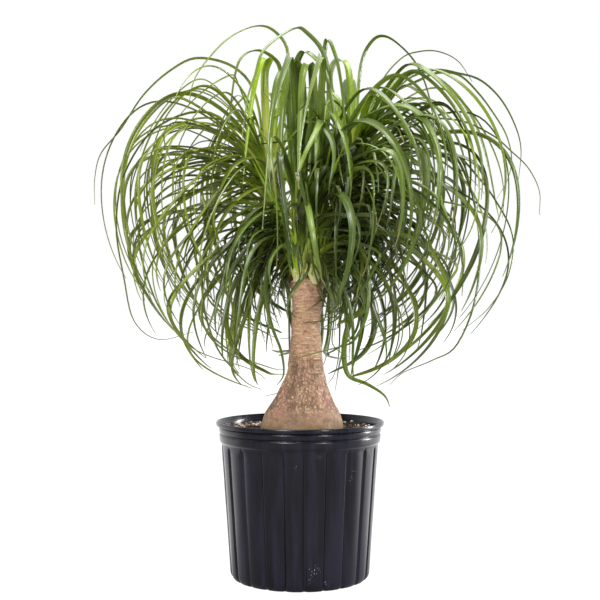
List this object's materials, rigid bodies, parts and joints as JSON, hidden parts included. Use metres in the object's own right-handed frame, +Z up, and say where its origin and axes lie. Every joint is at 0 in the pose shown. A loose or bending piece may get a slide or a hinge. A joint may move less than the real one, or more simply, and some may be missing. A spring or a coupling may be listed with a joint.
{
  "type": "potted ponytail palm",
  "caption": "Free-standing house plant: a round fluted nursery pot filled with bark mix holds a trunk with a swollen foot and a ball of long strap leaves that arch and hang.",
  "frame": {"origin": "middle of the pot's flat bottom, on the surface that it stands on", "axes": "+Z up along the trunk, -Y towards the viewer of the picture (the side of the two low heads), +X to the viewer's right"},
  "size_m": [0.737, 0.6418, 0.9064],
  "materials": {
    "pot": "near-black moulded plastic with a soft sheen",
    "potting_mix": "loose dark bark crumbs with pale perlite",
    "bark": "dry tan bark, ringed above and cracked below",
    "leaves_left": "smooth living leaf with a waxy sheen",
    "leaves_right": "smooth living leaf with a waxy sheen",
    "leaves_front": "smooth living leaf with a waxy sheen"
  },
  "bodies": {
    "root": {"pot": "pot", "potting_mix": "potting_mix", "trunk": "bark", "head_left": "leaves_left", "head_right": "leaves_right", "head_front": "leaves_front"}
  },
  "joints": []
}
